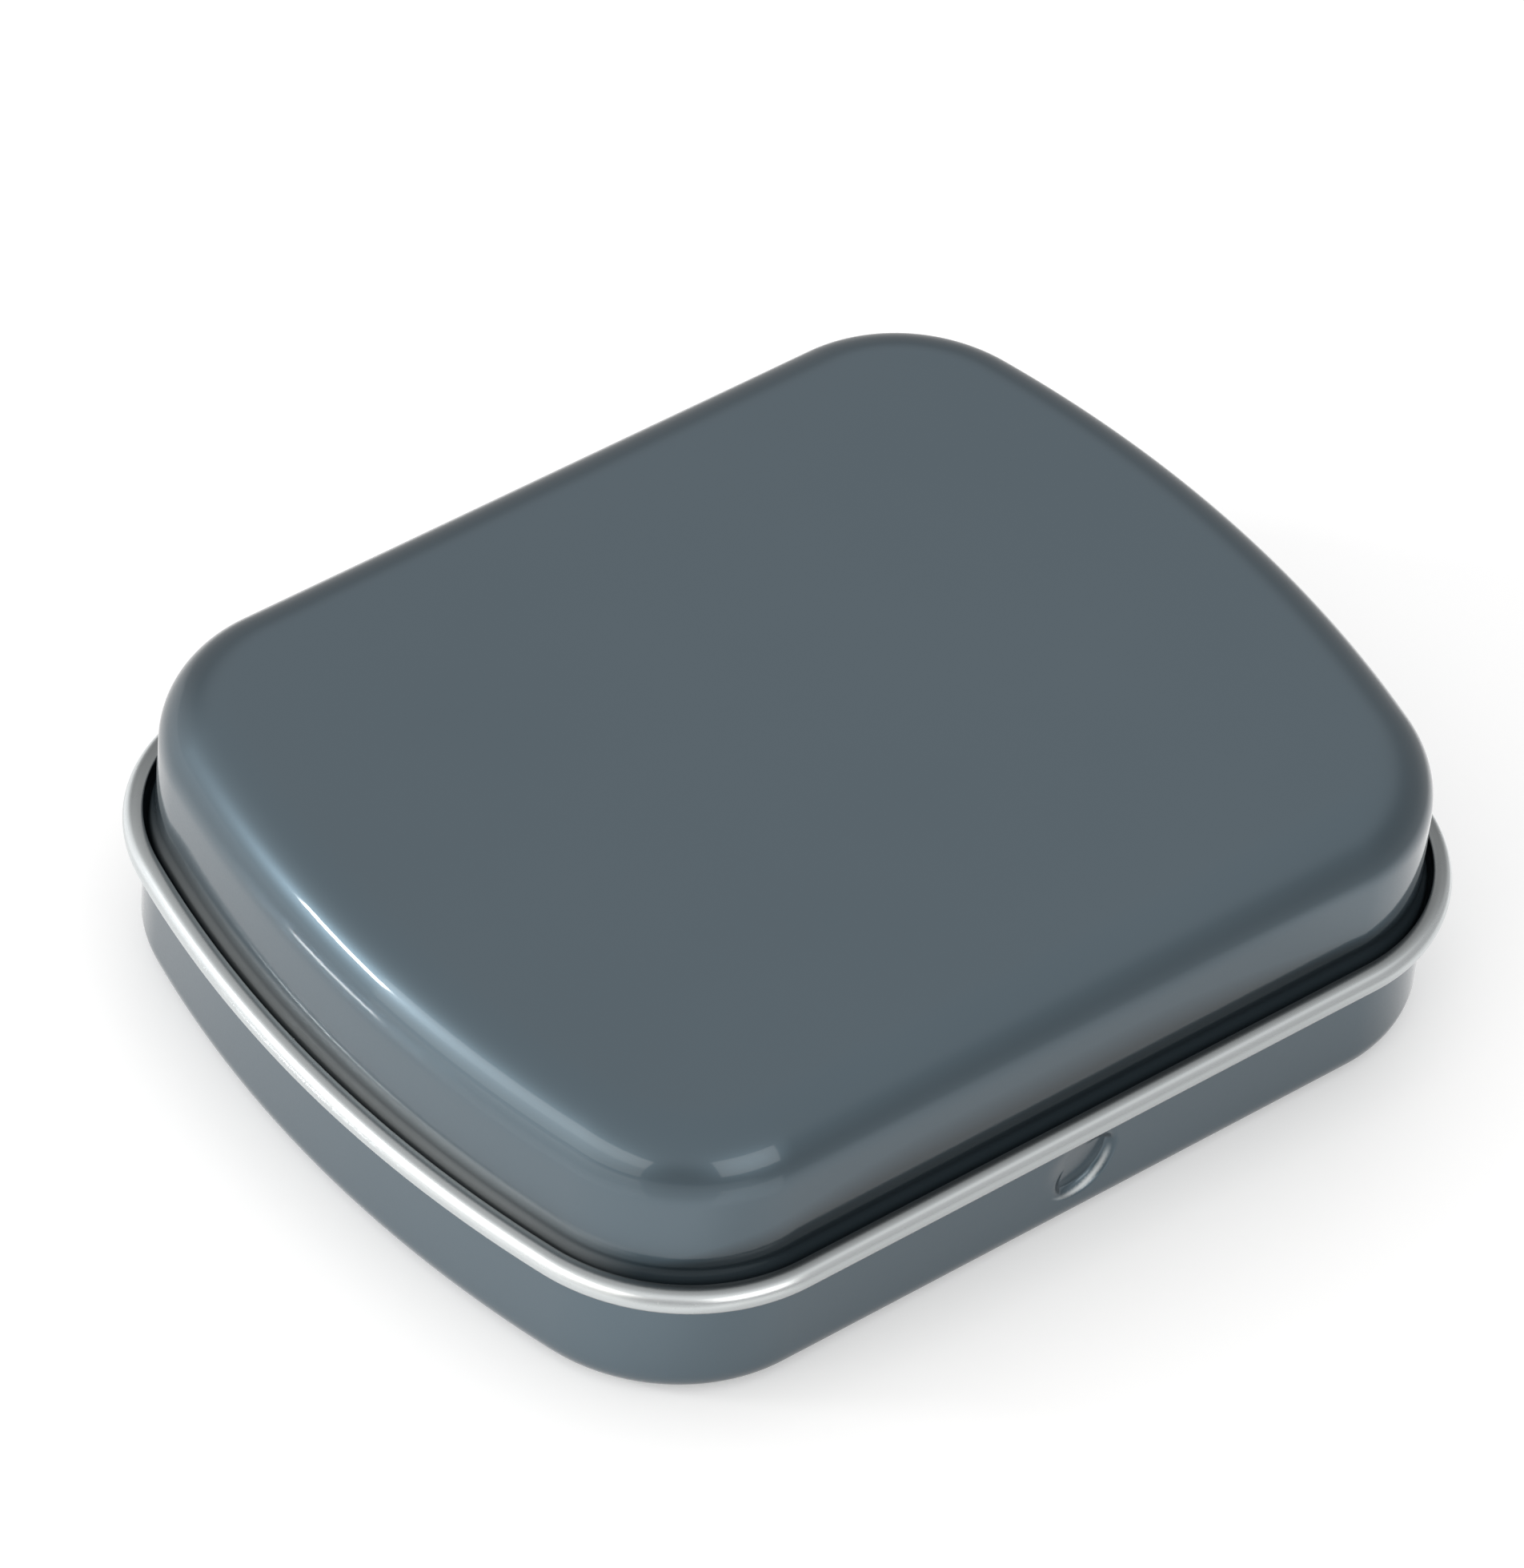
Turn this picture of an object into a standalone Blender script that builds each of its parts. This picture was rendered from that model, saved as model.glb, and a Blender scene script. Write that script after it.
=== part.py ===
"""A small hinged tin in pressed tinplate: a base, a lid and the wire that hinges them.

Metres, +Z up. The tin stands on z = 0 with the middle of its plan at the origin. Its
front is towards -Y and its hinge runs along the back, towards +Y. The lid is shut.
"""

import math

import bmesh
import bpy
from mathutils import Matrix, Vector

# Plan outline, measured over the rolled bead of the lid
LENGTH = 0.0600
WIDTH = 0.0484
END_BOW = 0.00445
CORNER_RADIUS = 0.0105

# Tinplate, and the gap kept between pieces that meet
SHEET = 0.00025
FIT_GAP = 0.0003

# Hinge wire, which reaches along a share of the straight back
PIN_RADIUS = 0.00035
PIN_CLEARANCE = 0.00015
PIN_END_BEVEL = 0.0001
PIN_SPAN_SHARE = 0.87

# Lid, from the middle of its bead up
BEAD_HEIGHT = 0.0073
LID_RISE = 0.0087
LID_EDGE_RADIUS = 0.0034
LID_WALL_SETBACK = 0.0003
CREASE_RISE = 0.0012

# Base
BASE_WALL_INSET = 0.00115
BASE_EDGE_RADIUS = 0.0015
PANEL_INSET = 0.0052
PANEL_RISE = 0.0003
PANEL_SLOPE = 0.0005
RIM_RADIUS = 0.0005
RIM_DROP = 0.0011

# Thumb dish, pressed into the front of the base just under its shoulder
DISH_RADIUS = 0.00245
DISH_DEPTH = 0.0006
DISH_DROP = 0.0017
DISH_PATCH_SHARE = 0.8

# Hinge tabs, cut from the neck at the back and rolled round the wire
TAB_WIDTH = 0.0050
TAB_PLACE_SHARE = 0.56
TAB_SETBACK = 0.0001
TAB_RELIEF = 0.0002

# How far each rolled edge turns, in degrees
LID_CURL_TURN = 290.0
TAB_CURL_TURN = 285.0
RIM_CURL_TURN = 200.0

# How finely round stretches are divided
CORNER_STEPS = 9
END_STEPS = 8
EDGE_STEPS = 6
CREASE_STEPS = 4
STEP_STEPS = 3
CURL_STEPS = 12
RIM_STEPS = 7
DISH_SEGMENTS = 24
DISH_RINGS = 32
PIN_SEGMENTS = 16

# Sizes that follow from those above
HALF_LENGTH = LENGTH / 2
HALF_WIDTH = WIDTH / 2
HEIGHT = BEAD_HEIGHT + LID_RISE
CURL_RADIUS = PIN_RADIUS + PIN_CLEARANCE
BEAD_RADIUS = CURL_RADIUS + SHEET
CREASE_INSET = BEAD_RADIUS + CURL_RADIUS
LID_WALL_INSET = CREASE_INSET + LID_WALL_SETBACK
NECK_INSET = LID_WALL_INSET + SHEET + FIT_GAP
NECK_HEIGHT = HEIGHT - LID_EDGE_RADIUS - RIM_DROP
STEP_RADIUS = (NECK_INSET - BASE_WALL_INSET) / 2
STEP_INSET = BASE_WALL_INSET + STEP_RADIUS
TAB_FOOT_INSET = BASE_WALL_INSET + TAB_SETBACK
HINGE_AXIS = Vector((0, HALF_WIDTH - BEAD_RADIUS, BEAD_HEIGHT))
MESH_TOLERANCE = SHEET / 100

# Where the bowed ends are centred, and the round corners
END_RADIUS = (HALF_WIDTH ** 2 + END_BOW ** 2) / (2 * END_BOW)
END_CENTRE = HALF_LENGTH - END_RADIUS
CORNER_Y = HALF_WIDTH - CORNER_RADIUS
CORNER_X = END_CENTRE + math.sqrt((END_RADIUS - CORNER_RADIUS) ** 2 - CORNER_Y ** 2)

# The shoulder rises until it is one gap away from the bead that rests over it
SEAT_REACH = BEAD_RADIUS + FIT_GAP + STEP_RADIUS
SHOULDER_HEIGHT = BEAD_HEIGHT - math.sqrt(SEAT_REACH ** 2 - (STEP_INSET - BEAD_RADIUS) ** 2)
STEP_TOP = SHOULDER_HEIGHT + STEP_RADIUS
NECK_FOOT = STEP_TOP + STEP_RADIUS


def arc(centre, radius, start, end, steps):
    """Points round a centre from one angle to another in degrees, both ends included."""
    angles = [math.radians(start + (end - start) * i / steps) for i in range(steps + 1)]
    return [(centre[0] + radius * math.cos(a), centre[1] + radius * math.sin(a)) for a in angles]


def plan_outline():
    """Outline over the bead, anticlockwise: straight long sides, bowed ends, round corners."""
    lean = math.degrees(math.atan2(CORNER_Y, CORNER_X - END_CENTRE))
    end = arc((END_CENTRE, 0), END_RADIUS, -lean, lean, END_STEPS)
    corner = arc((CORNER_X, CORNER_Y), CORNER_RADIUS, lean, 90, CORNER_STEPS)[1:]
    right = [(x, -y) for x, y in reversed(corner)] + end + corner
    left = [(-x, y) for x, y in reversed(right)]
    return right + left


def lid_section():
    """Painted face of the lid as (inset, height), from its flat top down to the curl."""
    edge_centre = (LID_WALL_INSET + LID_EDGE_RADIUS, HEIGHT - LID_EDGE_RADIUS)
    points = arc(edge_centre, LID_EDGE_RADIUS, 90, 180, EDGE_STEPS)
    for i in range(CREASE_STEPS):
        share = i / CREASE_STEPS
        ease_share = (1 - math.cos(math.pi * share)) / 2
        inset = LID_WALL_INSET + (CREASE_INSET - LID_WALL_INSET) * ease_share
        points.append((inset, BEAD_HEIGHT + CREASE_RISE * (1 - share)))
    return points + arc((BEAD_RADIUS, BEAD_HEIGHT), CURL_RADIUS, 0, -LID_CURL_TURN, CURL_STEPS)


def base_section():
    """Painted face of the base as (inset, height), from the floor panel up to the rim."""
    points = [(PANEL_INSET + PANEL_SLOPE, PANEL_RISE), (PANEL_INSET, 0)]
    edge_centre = (BASE_WALL_INSET + BASE_EDGE_RADIUS, BASE_EDGE_RADIUS)
    points += arc(edge_centre, BASE_EDGE_RADIUS, -90, -180, EDGE_STEPS)
    points += arc((STEP_INSET, SHOULDER_HEIGHT), STEP_RADIUS, 180, 90, STEP_STEPS)
    points += arc((STEP_INSET, NECK_FOOT), STEP_RADIUS, -90, 0, STEP_STEPS)[1:]
    rim_centre = (NECK_INSET + RIM_RADIUS, NECK_HEIGHT - RIM_RADIUS)
    return points + arc(rim_centre, RIM_RADIUS, 180, 180 - RIM_CURL_TURN, RIM_STEPS)


def tab_section():
    """Painted face of a hinge tab as (inset, height), from its root up and round the wire."""
    root = (TAB_FOOT_INSET, STEP_TOP - SHEET)
    return [root] + arc((BEAD_RADIUS, BEAD_HEIGHT), CURL_RADIUS, 0, TAB_CURL_TURN, CURL_STEPS)


def new_collection(name):
    """A fresh collection in the scene."""
    collection = bpy.data.collections.new(name)
    bpy.context.scene.collection.children.link(collection)
    return collection


def new_object(name, data, collection, location=(0, 0, 0)):
    """An object with the given data, placed in a collection."""
    made = bpy.data.objects.new(name, data)
    made.location = location
    collection.objects.link(made)
    return made


def new_material(name, colour, metallic, roughness):
    """A plain Principled material."""
    material = bpy.data.materials.new(name)
    material.use_nodes = True
    shader = material.node_tree.nodes["Principled BSDF"]
    shader.inputs["Base Color"].default_value = colour
    shader.inputs["Metallic"].default_value = metallic
    shader.inputs["Roughness"].default_value = roughness
    material.diffuse_color = colour
    return material


def poly_curve(name, points, closed):
    """A flat curve of straight segments through the points."""
    curve = bpy.data.curves.new(name, "CURVE")
    curve.dimensions = "2D"
    spline = curve.splines.new("POLY")
    spline.points.add(len(points) - 1)
    for point, (x, y) in zip(spline.points, points):
        point.co = (x, y, 0, 1)
    spline.use_cyclic_u = closed
    return curve


def mesh_of(curve, guides):
    """The welded mesh of a curve, leaving no curve object behind."""
    carrier = new_object(curve.name, curve, guides)
    bpy.context.view_layer.update()
    evaluated = carrier.evaluated_get(bpy.context.evaluated_depsgraph_get())
    mesh = bpy.data.meshes.new_from_object(evaluated)
    bpy.data.objects.remove(carrier)
    edit = bmesh.new()
    edit.from_mesh(mesh)
    bmesh.ops.remove_doubles(edit, verts=edit.verts, dist=MESH_TOLERANCE)
    edit.to_mesh(mesh)
    edit.free()
    return mesh


def pressed_skin(name, section, guides):
    """One face of a pressing: the section swept round the outline, its middle closed by a plate."""
    profile = new_object(name + "_section", poly_curve(name + "_section", section, False), guides)
    path = poly_curve(name + "_outline", plan_outline(), True)
    path.bevel_mode = "OBJECT"
    path.bevel_object = profile
    mesh = mesh_of(path, guides)
    bpy.data.objects.remove(profile)
    plate_height = section[0][1]
    edit = bmesh.new()
    edit.from_mesh(mesh)
    level = [v for v in edit.verts if abs(v.co.z - plate_height) < MESH_TOLERANCE]
    rim = [e for e in edit.edges if e.is_boundary and all(v in level for v in e.verts)]
    bmesh.ops.contextual_create(edit, geom=rim)
    bmesh.ops.recalc_face_normals(edit, faces=edit.faces)
    edit.to_mesh(mesh)
    edit.free()
    return mesh


def thicken(target, offset):
    """Gives a skin the thickness of the sheet, to the side that the offset says."""
    solidify = target.modifiers.new("sheet", "SOLIDIFY")
    solidify.thickness = SHEET
    solidify.offset = offset
    solidify.use_even_offset = True


def combine(target, operation, tool):
    """Cuts a tool from the target, or joins it on."""
    boolean = target.modifiers.new(tool.name, "BOOLEAN")
    boolean.operation = operation
    boolean.solver = "EXACT"
    boolean.object = tool


def mark_as_guide(tool):
    """Shows a cutter as wire and keeps it out of renders."""
    tool.hide_render = True
    tool.display_type = "WIRE"
    return tool


def box(name, low, high, guides):
    """A box between two corners."""
    low, high = Vector(low), Vector(high)
    size = high - low
    mesh = bpy.data.meshes.new(name)
    edit = bmesh.new()
    bmesh.ops.create_cube(edit, size=1, matrix=Matrix.Diagonal((size.x, size.y, size.z, 1)))
    edit.to_mesh(mesh)
    edit.free()
    return mark_as_guide(new_object(name, mesh, guides, (low + high) / 2))


def dish_ball(name, radius, guides):
    """A ball whose pole points at the wall, centred in front of the thumb dish."""
    mesh = bpy.data.meshes.new(name)
    edit = bmesh.new()
    turn = Matrix.Rotation(math.radians(90), 4, "X")
    bmesh.ops.create_uvsphere(edit, u_segments=DISH_SEGMENTS, v_segments=DISH_RINGS,
                              radius=radius, matrix=turn)
    edit.to_mesh(mesh)
    edit.free()
    floor_y = BASE_WALL_INSET + DISH_DEPTH - HALF_WIDTH
    centre = (0, floor_y - dish_curve(), SHOULDER_HEIGHT - DISH_DROP)
    return mark_as_guide(new_object(name, mesh, guides, centre))


def dish_curve():
    """Radius of the ball that leaves a dish of the stated width and depth."""
    return (DISH_RADIUS ** 2 + DISH_DEPTH ** 2) / (2 * DISH_DEPTH)


def press_thumb_dish(base, guides):
    """Presses the thumb dish: a domed patch behind the wall, then the hollow in front of it."""
    patch = dish_ball("dish_patch", dish_curve() + SHEET, guides)
    front_y = BASE_WALL_INSET + SHEET * DISH_PATCH_SHARE - HALF_WIDTH
    top = SHOULDER_HEIGHT + STEP_RADIUS * DISH_PATCH_SHARE
    reach = 2 * DISH_RADIUS
    keep = box("dish_patch_room", (-reach, front_y, SHEET), (reach, front_y + reach, top), guides)
    combine(patch, "INTERSECT", keep)
    combine(base, "UNION", patch)
    combine(base, "DIFFERENCE", dish_ball("dish_hollow", dish_curve(), guides))


def tab_centres():
    """Where the two hinge tabs stand along the back."""
    place = CORNER_X * TAB_PLACE_SHARE
    return {"left": -place, "right": place}


def roll_hinge_tab(base, side, x, guides):
    """Rolls one tab out of the neck: the curl that holds the wire, and the window it leaves."""
    section = [(HALF_WIDTH - inset, height) for inset, height in tab_section()]
    strip = poly_curve("tab_" + side, section, False)
    strip.extrude = TAB_WIDTH / 2
    tab = new_object("tab_" + side, mesh_of(strip, guides), guides, (x, 0, 0))
    tab.rotation_euler = (math.radians(90), 0, math.radians(90))
    thicken(tab, 1)
    mark_as_guide(tab)
    half = TAB_WIDTH / 2 + TAB_RELIEF
    back_inset = max(TAB_FOOT_INSET, CREASE_INSET) + SHEET + TAB_RELIEF
    stem = BEAD_HEIGHT - SHOULDER_HEIGHT
    curl = math.radians(TAB_CURL_TURN) * (CURL_RADIUS + SHEET / 2)
    low = (x - half, HALF_WIDTH - NECK_INSET - SHEET - FIT_GAP, SHOULDER_HEIGHT)
    high = (x + half, HALF_WIDTH - back_inset, SHOULDER_HEIGHT + stem + curl)
    combine(base, "DIFFERENCE", box("neck_window_" + side, low, high, guides))
    combine(base, "UNION", tab)


def cut_hinge_window(lid, side, x, guides):
    """Cuts the bead and the foot of the lid's back wall away, clear of one hinge tab."""
    half = TAB_WIDTH / 2 + FIT_GAP
    reach = BEAD_RADIUS + FIT_GAP
    low = (x - half, HALF_WIDTH - LID_WALL_INSET - SHEET - FIT_GAP, BEAD_HEIGHT - reach)
    high = (x + half, HALF_WIDTH + FIT_GAP, BEAD_HEIGHT + reach)
    combine(lid, "DIFFERENCE", box("bead_window_" + side, low, high, guides))


def make_base(parts, guides):
    """The base: one pressing, with the thumb dish in front and the hinge tabs behind."""
    base = new_object("base", pressed_skin("base", base_section(), guides), parts)
    thicken(base, -1)
    press_thumb_dish(base, guides)
    for side, x in tab_centres().items():
        roll_hinge_tab(base, side, x, guides)
    return base


def make_lid(parts, guides, axis):
    """The lid: one pressing whose lower edge is rolled outwards into a bead."""
    mesh = pressed_skin("lid", lid_section(), guides)
    mesh.transform(Matrix.Translation(-HINGE_AXIS))
    lid = new_object("lid", mesh, parts)
    lid.parent = axis
    thicken(lid, -1)
    for side, x in tab_centres().items():
        cut_hinge_window(lid, side, x, guides)
    return lid


def make_hinge_pin(parts, axis):
    """The straight wire inside the bead, which the base's tabs turn on."""
    mesh = bpy.data.meshes.new("hinge_pin")
    edit = bmesh.new()
    turn = Matrix.Rotation(math.radians(90), 4, "Y")
    bmesh.ops.create_cone(edit, cap_ends=True, segments=PIN_SEGMENTS, radius1=PIN_RADIUS,
                          radius2=PIN_RADIUS, depth=2 * CORNER_X * PIN_SPAN_SHARE, matrix=turn)
    edit.to_mesh(mesh)
    edit.free()
    pin = new_object("hinge_pin", mesh, parts)
    pin.parent = axis
    bevel = pin.modifiers.new("end_bevel", "BEVEL")
    bevel.width = PIN_END_BEVEL
    bevel.segments = 1
    bevel.limit_method = "ANGLE"
    return pin


def finish(target, material):
    """Gives a piece its material and smooth round surfaces."""
    target.data.materials.append(material)
    target.data.shade_smooth()
    target.data.set_sharp_from_angle(angle=math.radians(40))


def build():
    """Clears the scene and makes the tin."""
    for old in list(bpy.data.objects):
        bpy.data.objects.remove(old, do_unlink=True)
    parts = new_collection("hinged_tin")
    guides = new_collection("guides")
    axis = new_object("hinge_axis", None, parts, HINGE_AXIS)
    grey = (0.10, 0.13, 0.15, 1)
    steel = (0.55, 0.55, 0.54, 1)
    finish(make_base(parts, guides), new_material("base_paint", grey, 0.9, 0.35))
    finish(make_lid(parts, guides, axis), new_material("lid_paint", grey, 0.9, 0.35))
    finish(make_hinge_pin(parts, axis), new_material("pin_steel", steel, 1.0, 0.3))


build()
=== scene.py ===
import math

import bmesh
import bpy
from mathutils import Matrix, Vector


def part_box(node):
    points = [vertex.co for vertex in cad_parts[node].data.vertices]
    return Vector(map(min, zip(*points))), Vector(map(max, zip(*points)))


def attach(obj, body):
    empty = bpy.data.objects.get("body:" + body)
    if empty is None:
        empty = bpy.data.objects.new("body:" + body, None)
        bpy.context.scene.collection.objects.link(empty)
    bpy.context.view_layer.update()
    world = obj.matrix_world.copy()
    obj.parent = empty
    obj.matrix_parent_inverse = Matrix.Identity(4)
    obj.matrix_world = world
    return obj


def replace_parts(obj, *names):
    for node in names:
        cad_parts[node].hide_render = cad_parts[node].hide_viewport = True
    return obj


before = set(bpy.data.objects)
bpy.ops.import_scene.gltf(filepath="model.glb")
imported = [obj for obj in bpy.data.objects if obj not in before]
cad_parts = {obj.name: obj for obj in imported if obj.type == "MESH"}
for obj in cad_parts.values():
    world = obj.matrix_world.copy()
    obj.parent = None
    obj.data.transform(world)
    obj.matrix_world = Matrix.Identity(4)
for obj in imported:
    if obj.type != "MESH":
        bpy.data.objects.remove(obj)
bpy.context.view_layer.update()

# Sizes read from the frame
LID_LOW, LID_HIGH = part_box("lid")
BASE_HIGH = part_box("base")[1]
PIN_LOW, PIN_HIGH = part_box("hinge_pin")
HALF_LENGTH = LID_HIGH.x
HALF_WIDTH = LID_HIGH.y
HEIGHT = LID_HIGH.z
PIN_CENTRE = (PIN_LOW + PIN_HIGH) / 2
PIN_RADIUS = (PIN_HIGH.z - PIN_LOW.z) / 2
BEAD_HEIGHT = PIN_CENTRE.z
BEAD_RADIUS = BEAD_HEIGHT - LID_LOW.z
BASE_WALL_INSET = HALF_LENGTH - BASE_HIGH.x
NECK_HEIGHT = BASE_HIGH.z

# Plan outline over the bead
END_BOW = 0.00445
CORNER_RADIUS = 0.0105

# Sheet, gaps and sections, in metres
SHEET = 0.00025
FIT_GAP = 0.0003
LID_EDGE_RADIUS = 0.0034
LID_WALL_SETBACK = 0.0003
CREASE_RISE = 0.0012
BASE_EDGE_RADIUS = 0.0015
PANEL_INSET = 0.0052
PANEL_RISE = 0.0003
PANEL_SLOPE = 0.0005
PANEL_LIP = 0.0006
RIM_RADIUS = 0.0005

# Thumb dish: a tilted bowl, deep and crisp at its lower right, with a painted highlight of pale tin
# colour along its fold there
DISH_RADIUS = 0.00245
DISH_DEPTH = 0.0006
DISH_DROP = 0.0017
DISH_CRISP_SHARE = 0.80
DISH_SOFT_SHARE = 0.30
DISH_CRISP_SIDE = -52.0
DISH_CRISP_LEAST_SHARE = 0.45
DISH_CRISP_FULL_SHARE = 0.80
DISH_BOWL_SHARE = 0.25
DISH_CUTS = 2
# Painted highlight along the dish's fold: its radius share, offset, width, middle angle, half angle
# and strength
PAINTED_FOLD_HIGHLIGHT_SHARE = 0.93
PAINTED_FOLD_HIGHLIGHT_ASIDE = -0.0001
PAINTED_FOLD_HIGHLIGHT_WIDTH = 0.00017
PAINTED_FOLD_HIGHLIGHT_MIDDLE = -66.0
PAINTED_FOLD_HIGHLIGHT_HALF = 66.0
PAINTED_FOLD_HIGHLIGHT_STRENGTH = 0.68

# Painted shade at the foot of the lid's wall over the bead, reaching highest in front
GROOVE_REACH = 0.0014
GROOVE_SWELL = 0.0031
GROOVE_FOOT_SHARE = 0.31
GROOVE_LEAST = 0.45
GROOVE_MIDDLE = -0.0030
GROOVE_FLAT = 0.0060
GROOVE_END = 0.0300

# Painted light at the foot of the two ends over the bead, a pale tin colour mixed into the enamel
FOOT_LIGHT_LOW = 0.0006
FOOT_LIGHT_TOP = 0.0018
FOOT_LIGHT_FADE = 0.0005
FOOT_LIGHT_START = 0.0245
FOOT_LIGHT_END = 0.0280
FOOT_LIGHT_STRENGTH = 0.28

# Painted shade over the top of the bead beside the crease, least at the left end
BEAD_SHADE_START_SHARE = 0.80
BEAD_SHADE_STRENGTH = 0.58
BEAD_SHADE_LEAST_SHARE = 0.45
BEAD_SHADE_FADE = (-0.029, -0.022)

# Painted highlight band on the bead's outer side: where it comes in and goes out, as shares of its
# radius
BEAD_HIGHLIGHT_LOW = (0.25, 0.50)
BEAD_HIGHLIGHT_HIGH = (0.90, 0.70)

# Hinge tabs and the windows round them
TAB_WIDTH = 0.0050
TAB_PLACE_SHARE = 0.56
TAB_RELIEF = 0.0002
TAB_STEM_STEPS = 8

# How far each rolled edge turns, in degrees
LID_CURL_TURN = 290.0
TAB_CURL_TURN = 285.0
RIM_CURL_TURN = 200.0

# How finely the skins are divided
CORNER_STEPS = 36
END_STEPS = 48
LONG_STEP = 0.0011
DISH_STEP = 0.00016
EDGE_STEPS = 20
BOTTOM_EDGE_STEPS = 12
WALL_STEPS = 10
CREASE_STEPS = 14
SHOULDER_STEPS = 8
CURL_STEPS = 30
RIM_STEPS = 14
PIN_SEGMENTS = 40

# Sizes that follow
CURL_RADIUS = BEAD_RADIUS - SHEET
CREASE_INSET = BEAD_RADIUS + CURL_RADIUS
LID_WALL_INSET = CREASE_INSET + LID_WALL_SETBACK
NECK_INSET = LID_WALL_INSET + SHEET + FIT_GAP
STEP_RADIUS = (NECK_INSET - BASE_WALL_INSET) / 2
STEP_INSET = BASE_WALL_INSET + STEP_RADIUS
SEAT_REACH = BEAD_RADIUS + FIT_GAP + STEP_RADIUS
SHOULDER_HEIGHT = BEAD_HEIGHT - math.sqrt(SEAT_REACH ** 2 - (STEP_INSET - BEAD_RADIUS) ** 2)
NECK_FOOT = SHOULDER_HEIGHT + 2 * STEP_RADIUS
END_RADIUS = (HALF_WIDTH ** 2 + END_BOW ** 2) / (2 * END_BOW)
END_CENTRE = HALF_LENGTH - END_RADIUS
CORNER_Y = HALF_WIDTH - CORNER_RADIUS
CORNER_X = END_CENTRE + math.sqrt((END_RADIUS - CORNER_RADIUS) ** 2 - CORNER_Y ** 2)
TAB_X = CORNER_X * TAB_PLACE_SHARE
TAB_HALF = TAB_WIDTH / 2
NECK_WINDOW_HALF = TAB_HALF + TAB_RELIEF
LID_WINDOW_HALF = TAB_HALF + FIT_GAP
LID_WINDOW_TOP = BEAD_HEIGHT + BEAD_RADIUS + FIT_GAP
NECK_WINDOW_TOP = BEAD_HEIGHT + math.radians(TAB_CURL_TURN) * (CURL_RADIUS + SHEET / 2)
DISH_HEIGHT = SHOULDER_HEIGHT - DISH_DROP
FINE = SHEET / 1000

# The photograph's camera: degrees, metres, and millimetres for the lens and the frame's long side
VIEW_AZIMUTH = -42.488
VIEW_ELEVATION = 43.635
VIEW_ROLL = 5.955
VIEW_DISTANCE = 0.58698
VIEW_RIGHT = 0.00081
VIEW_UP = -0.008157
FOCAL_LENGTH = 270.05
LONG_SIDE = 36.0
CLIP_SHARE = 100

# Softening of the cut edges and the ends of the wire, and the angle from which an edge stays sharp
SOFT_EDGE_SHARE = 1 / 8
SOFT_EDGE_SEGMENTS = 2
SOFT_EDGE_ANGLE = 60.0
SHARP_ANGLE = 35.0
PIN_CHAMFER_SHARE = 1 / 4

# Colours
ENAMEL_DEEP = (0.074, 0.109, 0.134, 1)
ENAMEL_PALE = (0.084, 0.119, 0.144, 1)
# Pale tin colour that is mixed into the enamel as painted light and painted highlight
PAINTED_LIGHT_TIN = (0.74, 0.77, 0.77, 1)
TIN_DEEP = (0.47, 0.495, 0.50, 1)
TIN_PALE = (0.52, 0.545, 0.55, 1)
# Bright tin colour for the painted highlight on the bead
TIN_HIGHLIGHT = (0.68, 0.71, 0.72, 1)
CUT_DEEP = (0.42, 0.42, 0.41, 1)
CUT_PALE = (0.58, 0.58, 0.56, 1)
WIRE_DEEP = (0.50, 0.50, 0.49, 1)
WIRE_PALE = (0.62, 0.62, 0.60, 1)
BLACK = (0, 0, 0, 1)
WHITE = (1, 1, 1, 1)

# Noise patterns: scale and detail, or for the drawn-out ones a factor along each axis and detail
PEEL = (1100, 2)
GRAIN = (9000, 1)
CLOUD = (60, 3)
BLOOM = (250, 3)
RAGGED = (9000, 2)
STREAK_STRETCH = (40, 4000, 4000)
STREAK_DETAIL = 2
TEAR_STRETCH = (6000, 6000, 1500)
TEAR_DETAIL = 3
LINE_STRETCH = (60, 9000, 9000)
LINE_DETAIL = 2

# Finish: least and most roughness, distance and strength of bumps, and how metallic a face looks
ENAMEL_ROUGHNESS = (0.32, 0.40)
TIN_ROUGHNESS = (0.22, 0.30)
CUT_ROUGHNESS = (0.35, 0.55)
WIRE_ROUGHNESS = (0.22, 0.36)
PEEL_BUMP = (0.000003, 0.4)
STREAK_BUMP = (0.000001, 0.3)
TEAR_BUMP = (0.00001, 0.4)
LINE_BUMP = (0.000003, 0.5)
ENAMEL_METAL = 0.93
CREASE_METAL = 0.45
CREASE_DUST_SHARE = 2
TIN_METAL = 0.96
ENAMEL_TINT = (0.5, 0.5, 0.5, 1)
COAT_ROUGHNESS = 0.06
COAT_IOR = 1.42

# Floor, in metres, how much it is lifted towards white where it is looked at, and the painted light
# and painted shade that only its mirror image shows
FLOOR_REACH = 3.0
FLOOR_DROP = 0.00001
FLOOR_TONE = 0.82
FLOOR_FAR_SHADE_TONE = 0.62
FLOOR_NEAR = 0.042
FLOOR_FAR = 0.068
FLOOR_LIFT = 0.30
FLOOR_FRONT_PAINTED_LIGHT = 0.22
FLOOR_SIDE_PAINTED_LIGHT = 0.52
FLOOR_SIDE_START = 0.020
FLOOR_SIDE_END = 0.030
FLOOR_LEFT_PAINTED_LIGHT = 0.25
FLOOR_LEFT_START = 0.005
FLOOR_LEFT_END = -0.025
FLOOR_IOR = 1.8
FLOOR_GLOSS = 0.03
FLOOR_SOFTNESS = 0.5

# Levels of the studio round the tin, the elevations where they hold, and a glow at the back left
SKY_LEVEL = 0.90
SKY_ELEVATION = 43.0
HORIZON_LEVEL = 0.50
HORIZON_ELEVATION = 20.0
GLOW_LEVEL = 1.15
GLOW_SIDE = (-130, 0)
GLOW_START = 0.5

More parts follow.
